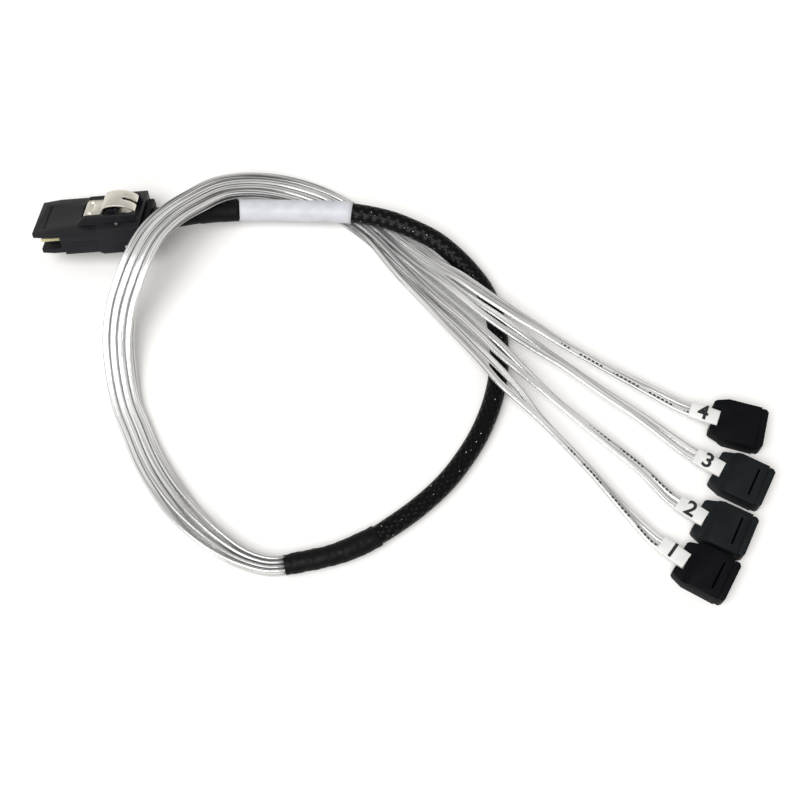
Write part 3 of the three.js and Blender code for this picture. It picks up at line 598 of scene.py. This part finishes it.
def braid():
    """Expandable sleeving of black polyester monofilament, laid flat in crossing bands. Each crossing is a
    lozenge about 2 mm wide and 3 mm long, painted near white in patches as a painted highlight, and the gaps
    go dead black."""
    made, tree, shader = material(
        "polyester_monofilament_braid", Roughness=0.36, IOR=1.57, Specular_IOR_Level=0.12
    )
    uv = add(tree, "ShaderNodeUVMap", uv_map="lay").outputs["UV"]
    lay = add(tree, "ShaderNodeSeparateXYZ", links={"Vector": uv})
    around, along = lay.outputs["X"], lay.outputs["Y"]
    per_band = BRAID_BANDS / BRAID_GIRTH
    turns = add(tree, "ShaderNodeMath", {1: per_band}, {0: around}, operation="MULTIPLY").outputs[0]
    steps = add(tree, "ShaderNodeMath", {1: 1 / BRAID_LEAN}, {0: along}, operation="MULTIPLY").outputs[0]
    hands = []
    for operation in ("ADD", "SUBTRACT"):
        lean = add(tree, "ShaderNodeMath", links={0: turns, 1: steps}, operation=operation).outputs[0]
        angle = add(tree, "ShaderNodeMath", {1: 2 * math.pi}, {0: lean}, operation="MULTIPLY").outputs[0]
        wave = add(tree, "ShaderNodeMath", links={0: angle}, operation="COSINE").outputs[0]
        hand = add(tree, "ShaderNodeMath", {1: 0.5, 2: 0.5}, {0: wave}, operation="MULTIPLY_ADD")
        hands.append(hand.outputs[0])
    crossing = add(tree, "ShaderNodeMath", links={0: hands[0], 1: hands[1]}, operation="MULTIPLY").outputs[0]
    lozenge = add(tree, "ShaderNodeMath", {1: 5.0}, {0: crossing}, operation="POWER").outputs[0]
    spread = add(tree, "ShaderNodeTexNoise", {"Scale": 0.35, "Detail": 2.0}, {"Vector": uv}).outputs["Fac"]
    patchy = add(
        tree, "ShaderNodeMapRange", {"From Min": 0.54, "From Max": 0.66}, {"Value": spread}
    ).outputs["Result"]
    # Painted highlight: the crossings are painted near white, in patches, where the braid would catch the
    # light
    painted_glint = add(tree, "ShaderNodeMath", links={0: lozenge, 1: patchy}, operation="MULTIPLY").outputs[0]
    tint = add(tree, "ShaderNodeValToRGB", links={"Fac": painted_glint}, stops=[
        (0.0, "#020203"), (0.5, "#040406"), (0.88, "#dcdee2"),
    ])
    relief = add(tree, "ShaderNodeBump", {"Strength": 0.45, "Distance": 0.4 * MM}, {"Height": crossing})
    feed(tree, shader, {"Base Color": tint.outputs["Color"], "Normal": relief.outputs["Normal"]})
    return made


def label_vinyl(name, dark, light):
    """White vinyl label stock, wrapped tight and pressed down: half matt, with faint creases, and the colour
    a little darker where they sink, as painted shade.
    """
    made, tree, shader = material(name, Roughness=0.48, IOR=1.5)
    where = add(tree, "ShaderNodeTexCoord").outputs["Object"]
    crease = add(
        tree, "ShaderNodeTexNoise", {"Scale": 1 / (5 * MM), "Detail": 4.0}, {"Vector": where}
    ).outputs["Fac"]
    tint = add(tree, "ShaderNodeValToRGB", links={"Fac": crease}, stops=[(0.3, dark), (0.7, light)])
    relief = add(tree, "ShaderNodeBump", {"Strength": 0.5, "Distance": 0.25 * MM}, {"Height": crease})
    feed(tree, shader, {"Base Color": tint.outputs["Color"], "Normal": relief.outputs["Normal"]})
    return made


def print_ink():
    """Thermal print: a thin, matt, very dark layer, a little uneven in tone."""
    made, tree, shader = material("black_print", Roughness=0.7, IOR=1.45)
    where = add(tree, "ShaderNodeTexCoord").outputs["Object"]
    speck = add(
        tree, "ShaderNodeTexNoise", {"Scale": 1 / (0.25 * MM), "Detail": 1.0}, {"Vector": where}
    ).outputs["Fac"]
    tint = add(tree, "ShaderNodeValToRGB", links={"Fac": speck}, stops=[(0.3, "#0c0c0f"), (0.8, "#2c2c31")])
    feed(tree, shader, {"Base Color": tint.outputs["Color"]})
    return made


# Printing on a strip, in millimetres: dashes in runs, towards the flag, in a band along the middle
DASH_PITCH = 1.5
DASH_LENGTH = 0.9
RUN_PITCH = 12.8
RUN_LENGTH = 9.2
PRINT_START = 326.0
PRINT_MIDDLE = 1.35
PRINT_HALF_WIDTH = 0.3


def dashes(tree, around, along):
    """Is 1 where a strip is printed."""
    aside = add(tree, "ShaderNodeMath", {1: PRINT_MIDDLE}, {0: around}, operation="SUBTRACT").outputs[0]
    off_middle = add(tree, "ShaderNodeMath", links={0: aside}, operation="ABSOLUTE").outputs[0]
    inked = add(
        tree, "ShaderNodeMath", {1: PRINT_HALF_WIDTH}, {0: off_middle}, operation="LESS_THAN"
    ).outputs[0]
    late = add(tree, "ShaderNodeMath", {1: PRINT_START}, {0: along}, operation="GREATER_THAN").outputs[0]
    inked = add(tree, "ShaderNodeMath", links={0: inked, 1: late}, operation="MULTIPLY").outputs[0]
    for pitch, length in ((DASH_PITCH, DASH_LENGTH), (RUN_PITCH, RUN_LENGTH)):
        place_in = add(tree, "ShaderNodeMath", {1: pitch}, {0: along}, operation="FLOORED_MODULO").outputs[0]
        on = add(tree, "ShaderNodeMath", {1: length}, {0: place_in}, operation="LESS_THAN").outputs[0]
        inked = add(tree, "ShaderNodeMath", links={0: inked, 1: on}, operation="MULTIPLY").outputs[0]
    return inked


def foil_strip(name, printed):
    """Aluminium foil wound round two insulated cores under a clear jacket: silver, with long bright runs and
    dark grey streaks painted into its colour as painted reflection and painted shade, small crinkles, and a
    hard gloss on top. Printed ones carry a row of plain dashes."""
    made, tree, shader = material(
        name, Metallic=0.5, Roughness=0.28, Coat_Weight=0.8, Coat_Roughness=0.08, Coat_IOR=1.5
    )
    uv = add(tree, "ShaderNodeUVMap", uv_map="lay").outputs["UV"]
    lay = add(tree, "ShaderNodeSeparateXYZ", links={"Vector": uv})
    around, along = lay.outputs["X"], lay.outputs["Y"]
    long_way = add(tree, "ShaderNodeMapping", {"Scale": (2.0, 0.022, 1)}, {"Vector": uv})
    # Every strip has its own runs
    chance = add(tree, "ShaderNodeObjectInfo").outputs["Random"]
    own = add(tree, "ShaderNodeMath", {1: 60.0}, {0: chance}, operation="MULTIPLY").outputs[0]
    runs = add(
        tree, "ShaderNodeTexNoise", {"Scale": 1.0, "Detail": 3.0, "Roughness": 0.55},
        {"Vector": long_way.outputs["Vector"], "W": own}, noise_dimensions="4D",
    )
    # Painted reflection and painted shade: bright runs and dark streaks along each strip, put into its colour
    silver = add(tree, "ShaderNodeValToRGB", links={"Fac": runs.outputs["Fac"]}, stops=[
        (0.34, "#2a2a2c"), (0.44, "#858586"), (0.52, "#d6d6d6"), (0.6, "#fdfdfd"),
    ])
    # Painted reflection by place along the strip: the colour is mixed towards white on the left and in the
    # fan, and left to the darker runs between them
    part = add(tree, "ShaderNodeMath", {1: 1 / 400}, {0: along}, operation="MULTIPLY").outputs[0]
    smooth = add(tree, "ShaderNodeValToRGB", links={"Fac": part}, stops=[
        (0.0, "#3c3c3c"), (0.2, "#b4b4b4"), (0.32, "#a0a0a0"), (0.4, "#000000"), (0.56, "#141414"),
        (0.66, "#848484"), (1.0, "#9a9a9a"),
    ])
    base = add(
        tree, "ShaderNodeMix", {7: colour("#ffffff")},
        {0: smooth.outputs["Color"], 6: silver.outputs["Color"]}, data_type="RGBA",
    ).outputs[2]
    if printed:
        base = add(
            tree, "ShaderNodeMix", {7: colour("#232326")}, {0: dashes(tree, around, along), 6: base},
            data_type="RGBA",
        ).outputs[2]
    cross_way = add(tree, "ShaderNodeMapping", {"Scale": (0.8, 0.5, 1)}, {"Vector": uv})
    crinkle = add(
        tree, "ShaderNodeTexNoise", {"Scale": 1.4, "Detail": 3.0, "Roughness": 0.6},
        {"Vector": cross_way.outputs["Vector"]},
    ).outputs["Fac"]
    relief = add(tree, "ShaderNodeBump", {"Strength": 0.5, "Distance": 0.3 * MM}, {"Height": crinkle})
    feed(tree, shader, {"Base Color": base, "Normal": relief.outputs["Normal"]})
    return made


def floor_paper():
    """White sweep under the cable. It is lifted to white for the camera, more so far away, and keeps
    the shadows."""
    made = bpy.data.materials.new("white_sweep")
    made.use_nodes = True
    tree = made.node_tree
    tree.nodes.clear()
    seen = add(tree, "ShaderNodeLightPath").outputs["Is Camera Ray"]
    paper = add(tree, "ShaderNodeBsdfDiffuse", {"Color": colour("#e9e7e4")})
    bright = add(tree, "ShaderNodeBsdfDiffuse", {"Color": (0.92, 0.915, 0.905, 1)})
    where = add(tree, "ShaderNodeTexCoord").outputs["Object"]
    far = add(tree, "ShaderNodeVectorMath", links={0: where}, operation="LENGTH").outputs["Value"]
    glow = add(
        tree, "ShaderNodeMapRange", {"From Min": 0.3, "From Max": 1.8, "To Min": 0.05, "To Max": 0.6},
        {"Value": far},
    ).outputs["Result"]
    lift = add(tree, "ShaderNodeEmission", {"Color": (1, 1, 1, 1)}, {"Strength": glow})
    both = add(tree, "ShaderNodeAddShader", links={0: bright.outputs[0], 1: lift.outputs[0]})
    mixed = add(tree, "ShaderNodeMixShader", links={0: seen, 1: paper.outputs[0], 2: both.outputs[0]})
    add(tree, "ShaderNodeOutputMaterial", links={"Surface": mixed.outputs[0]})
    return made


shell_black = moulded_plastic("black_polyester_moulding", "#0d0e13", "#15161c", 0.5, 0.3)
drive_black = moulded_plastic("black_vinyl_overmould", "#06070a", "#0b0c10", 0.55, 0.1)
# A lighter, bluer copy of the drive plugs' black for plugs 3 and 2: painted light, for the brighter tone
# their upward faces take in this light
drive_painted_light = moulded_plastic("black_vinyl_overmould_painted_light", "#0c1012", "#13181b", 0.55, 0.2)
# Dead black and matt, for the boxes on the groove floors: painted shade, so the grooves read deep
groove_painted_shade = moulded_plastic("black_vinyl_painted_groove_shade", "#020203", "#040405", 0.8, 0.0)
steel = spring_steel()
gold = gold_plate()
card_face = laminate()
melt = potting()
shrink = heat_shrink()
braid_face = braid()
vinyl = label_vinyl("cool_white_vinyl_label", "#c1c3ca", "#d1d3da")
flag_vinyl = label_vinyl("white_vinyl_flag", "#d6d6d4", "#e6e6e4")
ink = print_ink()
foil = foil_strip("foil_under_clear_jacket", False)
foil_printed = foil_strip("foil_under_clear_jacket_printed", True)


def finish(piece, skin):
    piece.data.materials.clear()
    piece.data.materials.append(skin)


# Cords: what they replace, ride on and are made of

label_wall = label.modifiers.new("wall", "SOLIDIFY")
label_wall.thickness = LABEL_WALL * MM
label_wall.offset = -1
apply_modifiers(label)

for piece, node, skin, slot in (
    (sleeve, "braided_sleeve", braid_face, "black_braid"),
    (tail, "tail_heat_shrink", shrink, "heat_shrink"),
    (label, "wrap_label", vinyl, "label_paper"),
    (outer_shrink, "end_heat_shrink_outer", shrink, "heat_shrink"),
    (inner_shrink, "end_heat_shrink_inner", shrink, "heat_shrink"),
):
    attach(piece, BODY)
    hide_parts(node)
    finish(piece, skin)


# Host plug

for node, name, edge, skin, slot in (
    ("upper_shell", "upper_shell_moulding", 0.22, shell_black, "black_plastic"),
    ("plug_collar", "plug_collar_moulding", 0.3, drive_black, "black_plastic"),
    ("latch", "pressed_latch", 0.07, steel, "stainless"),
    ("latch_anchor_leaf", "latch_leaf", 0.07, steel, "stainless"),
    ("paddle_card", "contact_card", 0.06, card_face, "circuit_board"),
):
    finish(dressed(node, name, edge), skin)

lower = dressed("lower_shell", "lower_shell_moulding", 0.2, reshape=close_parting)
finish(lower, shell_black)

bpy.ops.mesh.primitive_cylinder_add(vertices=24, radius=SIDE_PIN_RADIUS * MM, depth=0.2 * MM)
side_dot = bpy.context.object
side_dot.name = "side_pin_end"
place(side_dot, host_matrix(SIDE_PIN_AT) @ Matrix.Rotation(math.radians(90), 4, "X"))
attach(side_dot, BODY)
finish(side_dot, steel)

for node, skin in (
    ("card_pads_top", gold), ("card_pads_bottom", gold), ("lead_grip_block", melt),
    ("shell_pin_left", steel), ("shell_pin_right", steel),
):
    nodes[node].data.materials.clear()
    nodes[node].data.materials.append(skin)


# Drive plugs and their number flags

for number, spot in DRIVE_PLUGS.items():
    # Plugs 3 and 2 take the lighter copy of the black, as painted light
    drive_skin = drive_painted_light if number in "32" else drive_black
    finish(dressed(f"drive_overmould_{number}", f"drive_grip_{number}", 0.12), drive_skin)
    finish(dressed(f"drive_housing_{number}", f"drive_nose_{number}", 0.09), drive_skin)
    flag = dressed(f"number_flag_{number}", f"flag_wrap_{number}", 0.06, 2)
    turned_flag(number, flag.data)
    finish(flag, flag_vinyl)
    # A thin dead black box on the floor of each upward groove: painted shade for its depth
    if number != "4":
        bpy.ops.mesh.primitive_cube_add(size=1)
        groove = bpy.context.object
        groove.name = f"groove_bed_{number}"
        stretch = Matrix.Diagonal((*(size * MM for size in GROOVE_SHADE_SIZE), 1))
        place(groove, drive_matrix(number, GROOVE_SHADE_AT) @ stretch)
        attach(groove, BODY)
        finish(groove, groove_painted_shade)
    contacts = nodes[f"drive_contacts_{number}"]
    contacts.data.materials.clear()
    contacts.data.materials.append(gold)

    bpy.ops.object.text_add(location=(0, 0, 0))
    digit = bpy.context.object
    digit.name = f"flag_number_{number}"
    digit.data.body = number
    digit.data.size = DIGIT_HEIGHT * MM
    digit.data.align_x = "CENTER"
    digit.data.align_y = "CENTER"
    digit.data.extrude = 0.03 * MM
    digit.data.offset = 0.17 * MM
    bpy.ops.object.convert(target="MESH")
    digit = bpy.context.object
    place(digit, drive_matrix(number, (DIGIT_ALONG, 0, spot["lead"] + FLAG_TOP + 0.03)))
    turned_flag(number, digit.data)
    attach(digit, BODY)
    finish(digit, ink)


# Foil strips, in place of the lead strips

for key, (strip, centres, length) in strips.items():
    number = key[0]
    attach(strip, BODY)
    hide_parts(f"lead_strip_{key}")
    finish(strip, foil_printed if key in ("4b", "2a", "1b") else foil)


# Sweep, light and view

bpy.ops.mesh.primitive_plane_add(size=6, location=(0, 0, -0.0002))
floor = bpy.context.object
floor.name = "sweep"
floor.data.materials.append(floor_paper())


def soft_box(name, location, size, power):
    bpy.ops.object.light_add(type="AREA", location=location)
    lamp = bpy.context.object
    lamp.name = name
    lamp.data.shape = "DISK"
    lamp.data.size = size
    lamp.data.energy = power
    lamp.rotation_euler = (-Vector(location)).to_track_quat("-Z", "Y").to_euler()


soft_box("key_soft_box", (-0.5, -0.75, 1.6), 1.5, 31.0)

world = bpy.data.worlds.new("white_room")
world.use_nodes = True
bpy.context.scene.world = world
tree = world.node_tree
tree.nodes.clear()
path = add(tree, "ShaderNodeLightPath")
room = add(tree, "ShaderNodeBackground", {"Color": colour("#fbf9f5"), "Strength": 0.5})
seen = add(tree, "ShaderNodeBackground", {"Color": (1, 1, 1, 1), "Strength": 1.0})
by_camera = path.outputs["Is Camera Ray"]
mixed = add(tree, "ShaderNodeMixShader", links={0: by_camera, 1: room.outputs[0], 2: seen.outputs[0]})
add(tree, "ShaderNodeOutputWorld", links={"Surface": mixed.outputs[0]})

bpy.context.scene.view_settings.view_transform = "Standard"
